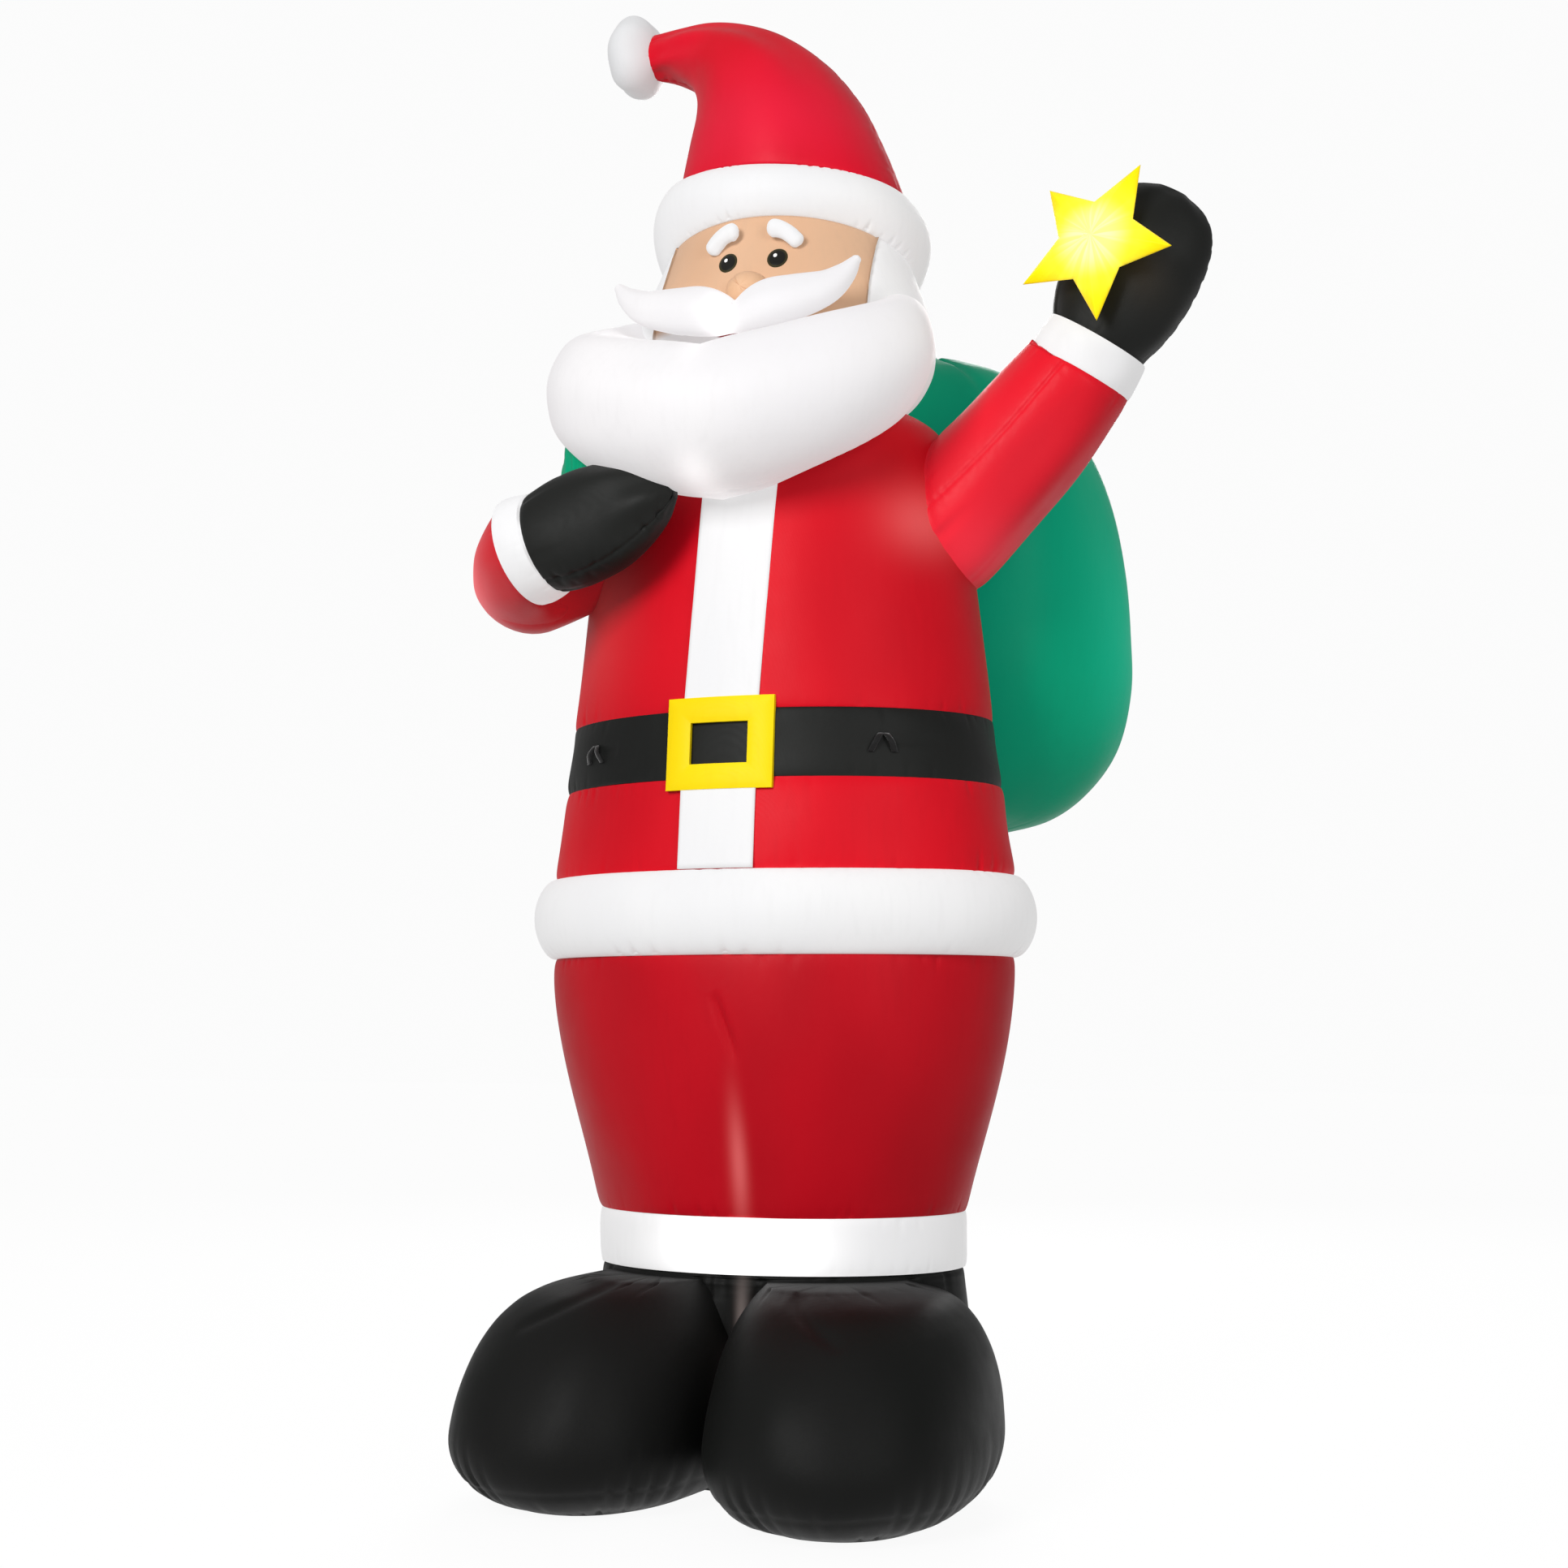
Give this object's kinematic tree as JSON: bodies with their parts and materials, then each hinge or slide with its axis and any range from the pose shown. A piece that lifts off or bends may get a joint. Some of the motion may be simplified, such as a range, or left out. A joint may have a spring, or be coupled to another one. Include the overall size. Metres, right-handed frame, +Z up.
{
  "type": "inflatable santa figure",
  "caption": "Inflatable yard Santa with a curled hat, full beard and buckled belt, standing on big boots with a star held up and a sack over the shoulder.",
  "frame": {"origin": "on the ground under the middle of the body, at the centre of the boot shaft's flat sole", "axes": "+Z up, the figure faces -Y, its left side with the raised arm is at +X"},
  "size_m": [1.7954, 1.9472, 3.741],
  "materials": {
    "red_fabric": "thin coated polyester, faint sheen",
    "white_fabric": "thin coated polyester, faint sheen",
    "black_fabric": "thin coated polyester, faint sheen",
    "black_ribbon": "woven ribbon",
    "yellow_fabric": "thin coated polyester, faint sheen",
    "star_fabric": "thin coated polyester, lit from inside",
    "green_fabric": "thin coated polyester, faint sheen",
    "skin_fabric": "thin coated polyester, faint sheen",
    "eye_fabric": "thin coated polyester with a printed rim and glint"
  },
  "bodies": {
    "root": {"boot_shaft": "black_fabric", "left_boot": "black_fabric", "right_boot": "black_fabric", "trouser_cuff": "white_fabric", "trousers": "red_fabric", "coat_hem": "white_fabric", "coat_skirt": "red_fabric", "belt": "black_fabric", "belt_buckle": "yellow_fabric", "left_tether_tab": "black_ribbon", "right_tether_tab": "black_ribbon", "coat_chest": "red_fabric", "front_band": "white_fabric", "front_band_low": "white_fabric", "left_sleeve": "red_fabric", "left_cuff": "white_fabric", "left_mitten": "black_fabric", "star": "star_fabric", "right_sleeve": "red_fabric", "right_cuff": "white_fabric", "right_mitten": "black_fabric", "hair": "white_fabric", "face": "skin_fabric", "nose": "skin_fabric", "beard": "white_fabric", "moustache": "white_fabric", "left_eyebrow": "white_fabric", "right_eyebrow": "white_fabric", "left_eye": "eye_fabric", "right_eye": "eye_fabric", "hat_trim": "white_fabric", "hat": "red_fabric", "hat_pompom": "white_fabric", "sack": "green_fabric", "sack_neck": "green_fabric"}
  },
  "joints": []
}
